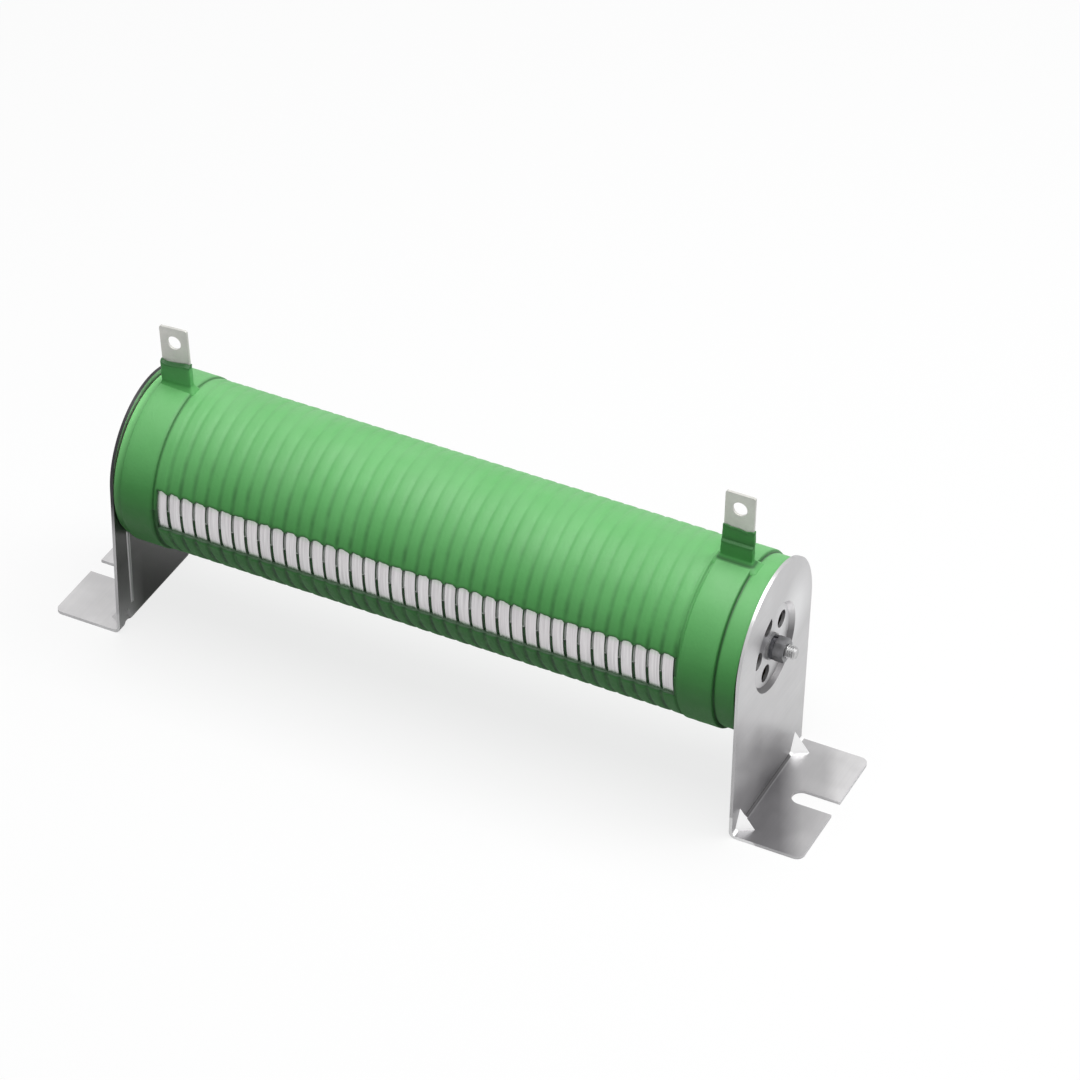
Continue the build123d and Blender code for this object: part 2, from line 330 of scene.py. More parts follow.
end_steps = np.array([0.0, 0.2, 0.5, 1.0])
plain_left = np.sort(np.concatenate([
    -tube_half + end_steps, band_rings(band_left, 0.7, 6), window_start - edge_steps,
]))
plain_right = np.sort(np.concatenate([
    window_end + edge_steps, band_rings(band_right, 1.5, 10),
    np.linspace(band_right + half_band + 2.4, tube_half - 1.0, 3), tube_half - end_steps[:-1],
]))
climb = np.clip(turn_rows, edge_turn, full_turn - edge_turn) / full_turn
in_a_pitch = np.array([0, 0.06, 0.12, 0.19, 0.27, 0.5, 0.73, 0.81, 0.88, 0.94])
climbing = np.append((np.arange(1, turns - 1)[:, None] + in_a_pitch[None, :]).ravel(), turns - 1)
first_line = winding_start + pitch * (1 + climb)
last_line = winding_start + pitch * (turns - 1 + climb)
coat_x = np.concatenate([
    rings(plain_left), fan(np.full_like(climb, plain_left[-1]), first_line, 27),
    winding_start + pitch * (climbing[None, :] + climb[:, None]),
    fan(last_line, np.full_like(climb, plain_right[0]), 16), rings(plain_right),
], axis=1)
print(coat_x.shape[1], "columns along the tube")

# %% [markdown]
# ## The coat's skin
# The rows above the strip are bent to follow the hem, so that its tongues come out smooth. Four more
# columns close the skin inside the tube. The mesh also carries what the paint depends on: how deep in a
# valley each point is, how near the strip, whether it is in the fill of the upper gaps, and how deep in a
# seam; the paint puts painted shade in the valleys, at the strip's edge and in the seams, and a painted
# highlight on the fill.

# %% Coat: skin
coat_turn = np.repeat(turn_rows[:, None], coat_x.shape[1], axis=1)
near_hem = np.interp((turn_rows - full_turn) * ridge_radius, [-14, -9.4, -8, -5], [0, 1, 1, 0])[:, None]
coat_turn = coat_turn + near_hem * hem(coat_x, coat_turn) / ridge_radius
coat_r = coat_radius(coat_x, coat_turn)
inner_x = np.array([tube_half - 0.02, tube_half - 2, -tube_half + 2, -tube_half + 0.02])
inner_r = tube_radius + np.array([0.03, -0.2, -0.2, 0.03])
coat_x = np.hstack([coat_x, rings(inner_x)])
coat_r = np.hstack([coat_r, rings(inner_r)])
coat_turn = np.hstack([coat_turn, np.repeat(turn_rows[:, None], len(inner_x), axis=1)])
coat_points = np.stack([coat_x, -coat_r * np.cos(coat_turn), -coat_r * np.sin(coat_turn)], axis=-1)
coat_edge = edge_distance(coat_x, coat_turn)
coat_fields = {
    "valley": valley(coat_x, coat_turn),
    "rim": np.clip(1 - coat_edge / 0.8, 0, 1),
    "upper_gap_fill": step(0.1, 0.2, -coat_edge) * upper_gap_fill(coat_x, coat_turn),
    "seam": np.clip(seam(coat_x), 0, 1),
}
coat = skin("coat_skin", coat_points, wrap_rows=True, fields=coat_fields)
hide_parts("green_coating")

# %% [markdown]
# ## Coat brushed up the lugs
# The coat was carried on up both ears of each band, so they stand in a green sock. The sock is a rounded
# rectangle carried upwards: wide where it grows out of the tube's coat, narrow above the short front ear,
# and drawn in to the lug's metal at its uneven top. The left lug leans, and its sock leans with it.

# %% Socks
lug_pivot = tube_radius + 1.65
sock_foot = 30.5
collar = lug_pivot + 2.9
sock_wall, over_short_ear = 1.5, 1.05
rim = np.array([
    (-0.05, 6.0, 0.4, 1.45), (0.05, 5.85, 0.2, 1.25), (-0.05, 5.68, -0.02, 1.08), (-0.6, 5.5, -0.1, 1.0),
])


def sock_rings(top, short_top, flare_out):
    """Heights, half widths, fronts and backs of the sock's rings; the last four are the rim, rolled in."""
    spans = (
        (sock_foot, collar - 0.8, 8), (collar - 0.6, collar + 0.8, 8), (collar + 1.2, short_top - 0.6, 4),
        (short_top - 0.3, min(short_top + 1.1, top - 0.4), 9),
        (min(short_top + 1.5, top - 0.3), top - 0.2, 4),
    )
    heights = np.concatenate([np.linspace(*span) for span in spans])
    flare = flare_out * (1 - step(sock_foot, collar + 0.2, heights)) ** 1.5
    front = sock_wall - over_short_ear * step(short_top + 0.1, short_top + 0.95, heights) + flare
    rings_so_far = (heights, 6.05 + flare, front, sock_wall + flare)
    rolled = (top + rim[:, 0], rim[:, 1], rim[:, 2], rim[:, 3])
    return [np.append(ring, end) for ring, end in zip(rings_so_far, rolled)]


def sock(name, place, top, short_top, lean, seed, flare_out, base, ledge_shade, crisp):
    """Rounded rectangle |x/a|^7 + |y/b|^7 = 1 carried up the lug; a, b and its middle change with the height.

    Below the collar it flares by flare_out. Below base it has the tube's green. ledge_shade is painted shade
    on the lit step over the short ear, and crisp sets the painted shade at the base and a darker line at the
    top."""
    heights, half_width, front, back = sock_rings(top, short_top, flare_out)
    angle = np.linspace(0, full_turn, 64, endpoint=False)
    wide, deep = (np.sign(part) * np.abs(part) ** (2 / 7) for part in (np.cos(angle), np.sin(angle)))
    x = half_width[:, None] * wide[None, :]
    y = (back - front)[:, None] / 2 + (back + front)[:, None] / 2 * deep[None, :]
    waves = 0.45 * np.sin(x * 0.9 + seed) * np.cos(x * 0.37 + 2 * seed)
    uneven = step(top - 4, top, heights)[:, None] * waves
    bulge = 1 + 0.012 * np.sin(heights[:, None] * 1.1 + 3 * wide[None, :] + seed)
    x, z = x * bulge, heights[:, None] + uneven - lug_pivot
    cos, sin = math.cos(math.radians(lean)), math.sin(math.radians(lean))
    points = np.stack([x * cos + z * sin + place, y * bulge, z * cos - x * sin + lug_pivot], axis=-1)
    soft = 1.5 - 1.25 * crisp
    sleeve = step(base - soft, base + soft, heights)
    # painted shade at the base and on the lit step over the short ear; a darker line at the top
    line = crisp * (bell(heights - base, 0.45) + 0.5 * bell(heights - top, 0.8))
    line = np.clip(line + ledge_shade * bell(heights - short_top - 0.6, 0.8), 0, 1)
    fields = {"sleeve": sleeve, "line": line}
    fields = {field: np.repeat(values[:, None], len(angle), axis=1) for field, values in fields.items()}
    piece = skin(name, points, caps=True, fields=fields)
    return piece


sock_left = sock("coat_sock_left", band_left, top=42.2, short_top=41.3, lean=-4.0, seed=1.0,
                 flare_out=1.7, base=lug_pivot + 2.4, ledge_shade=0.95, crisp=0.2)
sock_right = sock("coat_sock_right", band_right, top=45.8, short_top=lug_pivot + 7.75, lean=0.0, seed=2.6,
                  flare_out=3.0, base=lug_pivot + 1.3, ledge_shade=0.75, crisp=1.0)

# %% [markdown]
# ## The ribbon
# A flat strip of resistance alloy, wound round the tube with a gap between turns. Its corners were
# rounded when it was rolled, and they catch the light, so the section is a rounded rectangle and not a
# plain one. It is carried along a helix. Steps are short in the bare strip, where it is seen, and long
# under the coat.

# %% Ribbon: the strip's section
corner_radius, crown_height = 0.14, 0.03


def strip_section(width, thickness, corner, steps):
    """Rounded rectangle, as offsets across the strip and away from the tube."""
    quarter = np.linspace(0, np.pi / 2, steps)
    across, out = [], []
    for number, (sx, sy) in enumerate(((1, 1), (-1, 1), (-1, -1), (1, -1))):
        swing = quarter + number * np.pi / 2
        across.append(sx * (width / 2 - corner) + corner * np.cos(swing))
        out.append(sy * (thickness / 2 - corner) + corner * np.sin(swing))
    return np.concatenate(across), np.concatenate(out)


across, out = strip_section(ribbon_width, ribbon_thickness, corner_radius, 4)
crown = crown_height * (1 - (2 * across / ribbon_width) ** 2) * (out > 0)
print(f"section of {len(across)} points; the crown lifts the corners' points by {crown.max():.3f} mm")

# %% [markdown]
# ## Winding it on
# The helix goes on for two turns under each band. A real winding is never quite even, so each turn
# wanders by a few hundredths of a millimetre. The mesh carries the length along the strip, the place
# across it and the number of the turn, for the streaks in the metal.

# %% Ribbon: winding
hidden_turns = 2
seen = 0.32
near = np.linspace(-seen, seen, 17)
far = np.linspace(seen, full_turn - seen, 40)[1:-1]
starts = np.arange(turns - 1 + 2 * hidden_turns) * full_turn
helix = (starts[:, None] + np.concatenate([near, far])[None, :]).ravel()
helix = helix[helix >= 0]
wander = 0.05 * np.sin(helix * 0.37) + 0.03 * np.sin(helix * 1.71 + 1)
radius = tube_radius + ribbon_thickness / 2 + (out + crown)[None, :] * np.ones((len(helix), 1))
line_x = winding_start + pitch / 2 - hidden_turns * pitch + pitch * helix / full_turn
x = line_x[:, None] + across[None, :] + wander[:, None]
points = np.stack([x, -radius * np.cos(helix)[:, None], -radius * np.sin(helix)[:, None]], axis=-1)
outer_radius = 30.6
ribbon_fields = {
    "along": np.repeat(helix[:, None] * outer_radius * MM, len(across), axis=1),
    "across": np.repeat(across[None, :] * MM, len(helix), axis=0),
    "turn": np.repeat(np.round(helix / full_turn)[:, None], len(across), axis=1),
}
ribbon = skin("ribbon_winding", points, caps=True, fields=ribbon_fields)
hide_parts("resistance_ribbon")

# %% [markdown]
# ## The threaded rod
# The rod holds the brackets against the tube's ends. Its own ends stand out of the nuts, so their thread
# is seen: a V that climbs 0.8 mm per turn, again worked out as the distance from the axis at x and turn.
# Only the last 20 mm at both ends are threaded here, because nobody sees the rest.

# %% Rod
rod_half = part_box("through_rod")[1].x / MM
thread_pitch, crest_radius, thread_depth = 0.8, 2.5, 0.42
threaded_length = 20


def thread_radius(x, turn):
    """2.5 at the crests and 2.08 at the roots of a V that climbs one pitch per turn, bevelled at the tips."""
    place = x / thread_pitch - turn / full_turn
    saw = np.abs(2 * (place - np.floor(place + 0.5)))
    cut = thread_depth * np.clip(1.25 * (1 - saw) - 0.12, 0, 1)
    bevel = np.clip(rod_half - np.abs(x), 0, 0.6)
    return np.minimum(crest_radius - cut, 1.9 + bevel)


near_end = np.arange(rod_half - threaded_length, rod_half - 0.02, 0.1)
rod_x = np.concatenate([[-rod_half], -near_end[::-1], near_end, [rod_half]])
rod_turn = np.linspace(0, full_turn, 36, endpoint=False)
rod_x, rod_turn = np.meshgrid(rod_x, rod_turn, indexing="ij")
rod_r = thread_radius(rod_x, rod_turn)
rod_points = np.stack([rod_x, -rod_r * np.cos(rod_turn), -rod_r * np.sin(rod_turn)], axis=-1)
rod = skin("threaded_rod", rod_points, caps=True)
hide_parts("through_rod")

# %% [markdown]
# ## Small helpers for finishes
# A finish is a net of nodes. These helpers keep it readable. One turns a colour as seen on screen into
# the linear numbers that the renderer wants, and one makes a node and fills its inputs, where a value
# that is itself an output becomes a wire.

# %% Node helpers
def colour(red, green, blue):
    """Screen colour, 0 to 255, as linear light."""
    screen = np.array([red, green, blue]) / 255
    light = np.where(screen <= 0.04045, screen / 12.92, ((screen + 0.055) / 1.055) ** 2.4)
    return (*light.tolist(), 1.0)


def feed(net, socket, value):
    """Give a socket its value: a wire where the value is an output, and else a number, colour or vector."""
    if isinstance(value, bpy.types.NodeSocket):
        net.links.new(value, socket)
    else:
        socket.default_value = value


def feed_all(net, sockets, values):
    """Give the sockets their values in turn."""
    for socket, value in zip(sockets, values):
        feed(net, socket, value)


def fill(net, node, **inputs):
    """Feed a node's sockets by name, with _ for a space."""
    for key, value in inputs.items():
        feed(net, node.inputs[key.replace("_", " ")], value)


def put(net, kind, settings=None, **inputs):
    """A shader node of that kind; settings are its properties, inputs its sockets."""
    made = net.nodes.new("ShaderNode" + kind)
    for key, value in (settings or {}).items():
        setattr(made, key, value)
    fill(net, made, **inputs)
    return made


print("middle grey in linear light:", round(colour(128, 128, 128)[0], 3))

# %% [markdown]
# ## Sums and blends
# A mask is a number from 0 to 1 at each place of a surface. Masks are stretched out of lengths and
# noises, multiplied with each other, and then say where one colour is laid over another.

# %% Sums and blends
def maths(net, operation, *values, clamp=False):
    """A sum with one, two or three numbers."""
    made = put(net, "Math", {"operation": operation, "use_clamp": clamp})
    feed_all(net, made.inputs, values)
    return made.outputs[0]


def times(net, first, *others):
    """All the values multiplied."""
    for value in others:
        first = maths(net, "MULTIPLY", first, value)
    return first


def absolute(net, value):
    """The value without its sign."""
    return maths(net, "ABSOLUTE", value)


def rest(net, value):
    """What the value leaves of 1."""
    return maths(net, "SUBTRACT", 1.0, value)


def spread(net, value, low, high, first=0.0, second=1.0):
    """The value's stretch from low to high, carried to first..second and cut off there."""
    made = put(net, "MapRange", {"clamp": True})
    feed_all(net, made.inputs, (value, low, high, first, second))
    return made.outputs[0]


def blend(net, mask, first, second):
    """Colour first where the mask is 0 and second where it is 1."""
    made = put(net, "Mix", {"data_type": "RGBA"})
    feed_all(net, (made.inputs[0], made.inputs[6], made.inputs[7]), (mask, first, second))
    return made.outputs[2]


def layered(net, body, *layers):
    """Paint laid over the body in turn; each layer is a mask and a colour."""
    for mask, paint in layers:
        body = blend(net, mask, body, paint)
    return body


def parts(net, vector):
    """The x, y and z of a vector."""
    return put(net, "SeparateXYZ", Vector=vector).outputs


print("helpers: spread makes a mask, times joins masks, layered lays paint")

# %% [markdown]
# ## Effects that several finishes share
# Grain, streaks and dust turn up on paint, metal and ceramic alike, each time in other sizes. Each is
# built once as a node group, and each material sets its own numbers.

# %% Effect groups
def effect(name, numbers, results):
    """An empty node group that takes a Place and numbers {name: default} and gives numbers."""
    net = bpy.data.node_groups.new(name, "ShaderNodeTree")
    net.interface.new_socket("Place", in_out="INPUT", socket_type="NodeSocketVector")
    for title, default in numbers.items():
        socket = net.interface.new_socket(title, in_out="INPUT", socket_type="NodeSocketFloat")
        socket.default_value = default
    for title in results:
        net.interface.new_socket(title, in_out="OUTPUT", socket_type="NodeSocketFloat")
    return net, net.nodes.new("NodeGroupInput").outputs, net.nodes.new("NodeGroupOutput").inputs


def noise(net, place, size, detail):
    """A cloudy noise whose clouds are size metres across."""
    scale = maths(net, "DIVIDE", 1, size)
    return put(net, "TexNoise", Vector=place, Scale=scale, Detail=detail).outputs[0]


def grain_effect():
    """Cloudy tone and fine grain: two noises, one coarse and one fine, each stretched to 0..1."""
    sizes = {"Cloud size": 0.03, "Grain size": 0.001}
    net, given, result = effect("surface_grain", sizes, ["Cloud", "Grain"])
    cloud = noise(net, given["Place"], given["Cloud size"], 3.0)
    grain = noise(net, given["Place"], given["Grain size"], 2.0)
    net.links.new(spread(net, cloud, 0.3, 0.7), result["Cloud"])
    net.links.new(spread(net, grain, 0.25, 0.75), result["Grain"])
    return net


def streak_effect():
    """Fine lines along Y of the place given: noise whose Y is squeezed by Stretch."""
    net, given, result = effect("drawn_streaks", {"Line width": 0.0004, "Stretch": 40.0}, ["Streak"])
    x, y, z = parts(net, given["Place"])
    slow = maths(net, "DIVIDE", y, given["Stretch"])
    squeezed = put(net, "CombineXYZ", X=x, Y=slow, Z=z).outputs[0]
    lines = noise(net, squeezed, given["Line width"], 3.0)
    net.links.new(spread(net, lines, 0.3, 0.7), result["Streak"])
    return net


def dust_effect():
    """Dust on what faces up: the normal's height, broken up by a noise."""
    net, given, result = effect("settled_dust", {"Patch size": 0.008, "Amount": 0.3}, ["Dust"])
    facing = parts(net, put(net, "NewGeometry").outputs["Normal"])
    upward = spread(net, facing[2], 0.2, 1.0)
    patch = noise(net, given["Place"], given["Patch size"], 4.0)
    broken = times(net, upward, spread(net, patch, 0.35, 0.7, 0.6, 1.0))
    net.links.new(maths(net, "MULTIPLY", broken, given["Amount"], clamp=True), result["Dust"])
    return net


grain_group, streak_group, dust_group = grain_effect(), streak_effect(), dust_effect()
print("effect groups:", [group.name for group in (grain_group, streak_group, dust_group)])

# %% [markdown]
# ## Starting a material
# Every material starts with the same few nodes: the shader, the place on the object in metres, which
# stays put when the piece moves, and clouds and grain in sizes of its own. What a mesh carries comes in
# by its name.

# %% Material helpers
def use(net, group, **inputs):
    """One of the effects, placed in a material with its own numbers."""
    return put(net, "Group", {"node_tree": group}, **inputs).outputs


def finish_start(name, cloud_size, grain_size):
    """A new material, its net of nodes, its shader, the place in metres, its clouds and its grain."""
    material = bpy.data.materials.new(name)
    material.use_nodes = True
    net = material.node_tree
    place = put(net, "TexCoord").outputs["Object"]
    cloud, grain = use(net, grain_group, Place=place, Cloud_size=cloud_size, Grain_size=grain_size)
    return material, net, net.nodes["Principled BSDF"], place, cloud, grain


def carried(net, *fields):
    """The numbers that the mesh carries under these names."""
    return [put(net, "Attribute", {"attribute_name": field}).outputs["Fac"] for field in fields]


def in_mm(net, place):
    """The x, y and z of a place in millimetres."""
    scaled = put(net, "VectorMath", {"operation": "SCALE"}, Vector=place, Scale=1 / MM)
    return parts(net, scaled.outputs[0])


def relief(net, height, distance, strength=1.0):
    """A bump from a height of 0..1 that stands for distance metres."""
    return put(net, "Bump", Height=height, Distance=distance, Strength=strength).outputs[0]


print("the coat's mesh carries", list(coat_fields), "and the ribbon's", list(ribbon_fields))

# %% [markdown]
# ## Green coat
# The coat is a fired mineral paint: satin and a little cloudy. Its valleys get painted shade, strongest low
# on the tube; the mesh carries how deep in a valley each point is, so the shade follows the real valleys.
# The coat is also painted paler towards the left end, a painted light.

# %% Green coat
dust_green = colour(178, 202, 178)


def tube_paint(net, place, body, dust, third):
    """What only the tube's coat has: painted light at the left end, blotches, painted shade in the valleys,
    the seams and along the strip's edge, dust, and a painted highlight on the fill of the upper gaps.
    """
    deep, rim, gap_highlight, sunk = carried(net, "valley", "rim", "upper_gap_fill", "seam")
    length, _, level = in_mm(net, place)
    # painted light: the coat is painted paler towards its left end
    left_end_light = spread(net, length, band_left - half_band, -tube_half, 0.15, 0.9)
    blotch = use(net, grain_group, Place=place, Cloud_size=0.007, Grain_size=0.002)["Cloud"]
    # painted shade in the valleys, strongest low on the tube
    valley_shade = spread(net, level, axis_height - 14, axis_height + 31, 1.0, 0.05)
    valley_shade = maths(net, "MULTIPLY", valley_shade, spread(net, blotch, 0.1, 0.9, 0.5, 1.3), clamp=True)
    # painted shade along the strip's edge, stronger below the strip, over its lit rounded edge
    rim = times(net, rim, spread(net, level, axis_height - 6, axis_height + 6, 0.95, 0.6))
    return layered(
        net, body,
        (left_end_light, colour(136, 224, 136)),
        (times(net, blotch, 0.1), third),
        (times(net, deep, valley_shade), colour(18, 70, 26)),
        # painted shade in the seams beside the bands
        (times(net, sunk, 0.9), colour(16, 58, 22)),
        (rim, colour(20, 64, 27)),
        (dust, dust_green),
        # painted highlight: the fill in the strip's upper gaps is painted near white
        (gap_highlight, colour(222, 226, 222)),
    )


def sock_paint(net, place, body, dust, third):
    """What only a sock has: it starts in the tube's green, with painted shade at its base and on the step
    over the short ear, and a darker line at its top.
    """
    sleeve, line = carried(net, "sleeve", "line")
    tube_green = blend(net, dust, colour(84, 172, 88), dust_green)
    return layered(net, blend(net, sleeve, tube_green, body), (times(net, line, 0.85), colour(26, 72, 32)))


def green_coat(name, own_paint, first, second, third):
    """Green that clouds between first and second, brushed with third, and own_paint over it."""
    material, net, shader, place, cloud, grain = finish_start(name, 0.022, 0.0009)
    brush = use(net, streak_group, Place=place, Line_width=0.0011, Stretch=14.0)["Streak"]
    dust = use(net, dust_group, Place=place, Patch_size=0.02, Amount=0.2)["Dust"]
    body = layered(net, first, (cloud, second), (times(net, brush, 0.12), third))
    body = own_paint(net, place, body, dust, third)
    height = maths(net, "MULTIPLY_ADD", grain, 0.5, times(net, brush, 0.5))
    rough = spread(net, grain, 0, 1, 0.4, 0.56)
    bump = relief(net, height, 0.00005, 0.6)
    fill(net, shader, Base_Color=body, Roughness=rough, Normal=bump, Specular_IOR_Level=0.32)
    return material


greens = (
    (coat, "green_coat_grooved", tube_paint, (80, 168, 84), (90, 178, 94), (64, 148, 68)),
    # painted light: the left sock's greens are lighter than the right sock's
    (sock_left, "green_coat_sock_lightened", sock_paint, (106, 188, 112), (116, 198, 122), (92, 168, 98)),
    (sock_right, "green_coat_sock_plain", sock_paint, (84, 164, 88), (94, 176, 98), (68, 142, 72)),
)
for piece, name, own_paint, *three in greens:
    piece.data.materials.append(green_coat(name, own_paint, *(colour(*paint) for paint in three)))
print("greens:", [name for _, name, *_ in greens])

# %% [markdown]
# ## Bare ribbon
# The bare strip of each turn is rolled alloy: pale, a little warm, with streaks along the strip.
# Overspray from the coat leaves a faint green at the window's upper and lower edge. The streaks use the
# mesh's own measures along and across the strip, so they bend round the tube with it.

# %% Bare ribbon
def bare_alloy():
    """Pale metal with streaks along the strip, each turn's its own, and green mist at the window's edges."""
    material, net, shader, place, cloud, _ = finish_start("bare_alloy", 0.009, 0.0004)
    along, over, number = carried(net, "along", "across", "turn")
    shift = times(net, number, 0.0137)
    own = put(net, "CombineXYZ", X=over, Y=along, Z=shift).outputs[0]
    streak = use(net, streak_group, Place=own, Line_width=0.0007, Stretch=30.0)["Streak"]
    level = in_mm(net, place)[2]
    away = absolute(net, maths(net, "SUBTRACT", level, axis_height))
    mist = times(net, spread(net, away, 5.8, 8.4), spread(net, cloud, 0, 1, 0.25, 0.75))
    body = layered(
        net, colour(200, 197, 199),
        (streak, colour(234, 232, 233)),
        (times(net, cloud, 0.3), colour(220, 212, 216)),
        (mist, colour(150, 190, 150)),
    )
    rough = spread(net, streak, 0, 1, 0.3, 0.46)
    bump = relief(net, streak, 0.00002, 0.5)
    fill(net, shader, Base_Color=body, Roughness=rough, Metallic=0.85, Normal=bump)
    return material


ribbon.data.materials.append(bare_alloy())
print("ribbon finished with", ribbon.data.materials[0].name)

# %% [markdown]
# ## Where shade is painted on the brackets
# The brackets keep their solids. Their sheet is bright plated steel. The faces that look at the tube are
# painted dark below it, a painted shade, except on the pressed ribs, which are left bright as a painted
# highlight, and the left bracket's cut edge is painted dark beside the tube, a painted shade. These masks
# are worked out from the place in millimetres and from the way that the surface looks.

# %% Bracket: painted shade on the inner faces and the left edge
shade_top, dark_edge_from = 70, 45


def on_sheet(net, place):
    """Where a point of a bracket is, and which way the sheet looks there: facing is 1 away from the tube."""
    spot = SimpleNamespace()
    spot.x, spot.y, spot.z = in_mm(net, place)
    normal = put(net, "NewGeometry").outputs["Normal"]
    spot.normal_x, _, spot.normal_z = parts(net, normal)
    spot.facing = times(net, spot.normal_x, maths(net, "SIGN", spot.x))
    return spot


def pressed_rib(net, spot):
    """1 on the two ribs of a plate, round lines 21.2 mm from its middle at half height that lean outwards."""
    lean, half_height, half_way = 0.0437, 25.5, 21.2
    middle = maths(net, "MULTIPLY_ADD", spot.z, lean, half_way - half_height * lean)
    off = absolute(net, maths(net, "SUBTRACT", absolute(net, spot.y), middle))
    below_top, above_foot = spread(net, spot.z, 42.8, 42.4), spread(net, spot.z, 8.3, 8.7)
    return times(net, spread(net, off, 1.3, 0.9), below_top, above_foot)


def inner_face_shade(net, spot):
    """Painted shade on the face towards the tube below it, lighter in its near lower corner, and left off the
    ribs as a painted highlight.
    """
    to_tube, below_tube = spread(net, spot.facing, -0.3, -0.7), spread(net, spot.z, shade_top, 55)
    near_corner = times(net, spread(net, spot.z, 0, 30, 0.85, 0.0), spread(net, spot.y, -12, -22))
    rib = times(net, pressed_rib(net, spot), 0.9)
    return times(net, to_tube, rest(net, near_corner), below_tube, rest(net, rib))


def left_edge_shade(net, spot):
    """Painted shade on the left bracket's cut edge: dark beside the tube, faint below it and none at the
    foot.
    """
    on_edge = spread(net, absolute(net, spot.normal_x), 0.6, 0.3)
    on_left = spread(net, spot.x, 0, -50)
    above_foot = spread(net, spot.z, 4, 12)
    beside_tube = spread(net, spot.z, dark_edge_from, 60, 0.25, 0.95)
    return times(net, on_edge, on_left, above_foot, beside_tube)


print(f"inner shade up to {shade_top} mm, dark edge from {dark_edge_from} mm")

# %% [markdown]
# ## Painted shade in the fold
# Shade is painted where the plate turns into the foot. On the right bracket it reaches up the plate and out
# over the foot, and ends on a slant on both. The bend itself is painted as a dark line, a painted shade, and
# the two gussets that stiffen it are painted near white, a painted highlight, and stand out against it.

# %% Bracket: fold
plate_outside = 123.5


def fold_shade(net, spot):
    """Painted shade round the right bracket's fold; up and out are slanted ways up the plate and over the
    foot.
    """
    beside = maths(net, "ADD", spot.y, 20)
    up = maths(net, "MULTIPLY_ADD", beside, 0.75, spot.z)
    out = maths(net, "MULTIPLY_ADD", beside, 0.45, maths(net, "SUBTRACT", spot.x, 124))
    near, far = spread(net, out, 13, 22, 1.0, 0.38), spread(net, out, 22, 36, 1.0, 0.0)
    on_foot = times(net, spread(net, spot.normal_z, 0.3, 0.9), 0.76)
    on_plate = spread(net, spot.y, -22, 4, 0.26, 0.58)
    strength = maths(net, "MAXIMUM", on_foot, on_plate)
    reach = maths(net, "MINIMUM", near, far)
    return times(net, spread(net, up, 33, 46, 1.0, 0.0), reach, spread(net, spot.x, 0, 50), strength)


def bend_marks(net, spot):
    """Masks for a painted highlight on the gussets and a painted shade on the bend between them: both slant,
    on the side away from the tube.
    """
    slants = [spread(net, absolute(net, part), 0.97, 0.93) for part in (spot.normal_x, spot.normal_z)]
    slanted = times(net, *slants, spread(net, spot.facing, -0.1, 0.1))
    past_plate = maths(net, "MAXIMUM", maths(net, "SUBTRACT", absolute(net, spot.x), plate_outside), 0)
    away = maths(net, "ADD", spot.z, past_plate)
    aside = absolute(net, spot.y)
    gusset_highlight = times(net, slanted, spread(net, aside, 18.6, 19.2), spread(net, away, 9.5, 8.8))
    crease_shade = times(net, slanted, spread(net, aside, 21, 19), spread(net, away, 3.1, 2.8))
    return gusset_highlight, crease_shade


print(f"the plates' outer faces are {plate_outside} mm from the middle")

# %% [markdown]
# ## Painted shade and highlight round the dish
# Both marks are round: the dish's sloping wall is painted dark in its lower part, a painted shade, and a
# spot beside the right edge of the dish is painted bright, a painted highlight. So both are worked out from
# a distance to a line that runs along the tube.

# %% Bracket: dish
glare_y, glare_height = 17, 70


def from_line(net, spot, y, z):
    """Distance in mm from the line along the tube that runs through y and z."""
    off_y, off_z = maths(net, "SUBTRACT", spot.y, y), maths(net, "SUBTRACT", spot.z, z)
    apart = put(net, "CombineXYZ", X=0.0, Y=off_y, Z=off_z).outputs[0]
    return put(net, "VectorMath", {"operation": "LENGTH"}, Vector=apart).outputs["Value"]


def glare_spot(net, spot):
    """A painted highlight: a bright spot on the outer face beside the dish."""
    near = spread(net, from_line(net, spot, glare_y, glare_height), 16, 4, 0.0, 0.7)
    return times(net, near, spread(net, spot.facing, 0.5, 0.9))


def dish_wall_shade(net, spot):
    """Painted shade on the dish's sloping wall, between its two radii, in its lower part."""
    radius = from_line(net, spot, 0, axis_height)
    between = times(net, spread(net, radius, 15.1, 15.4), spread(net, radius, 16.95, 16.7))
    return times(net, between, spread(net, spot.z, axis_height + 6, axis_height - 4))


print(f"glare spot {glare_y} mm beside the axis and {glare_height - axis_height:.0f} mm above it")

# %% [markdown]
# ## Sheet steel of the brackets
# Bright plated sheet, satin and faintly cloudy, with rolling lines and a little dust. Painted shade and
# highlights are laid over it in this order: shade on the faces towards the tube, on the left edge, in the
# fold and on the bend, highlights on the gussets and beside the dish, and last shade on the dish's wall.

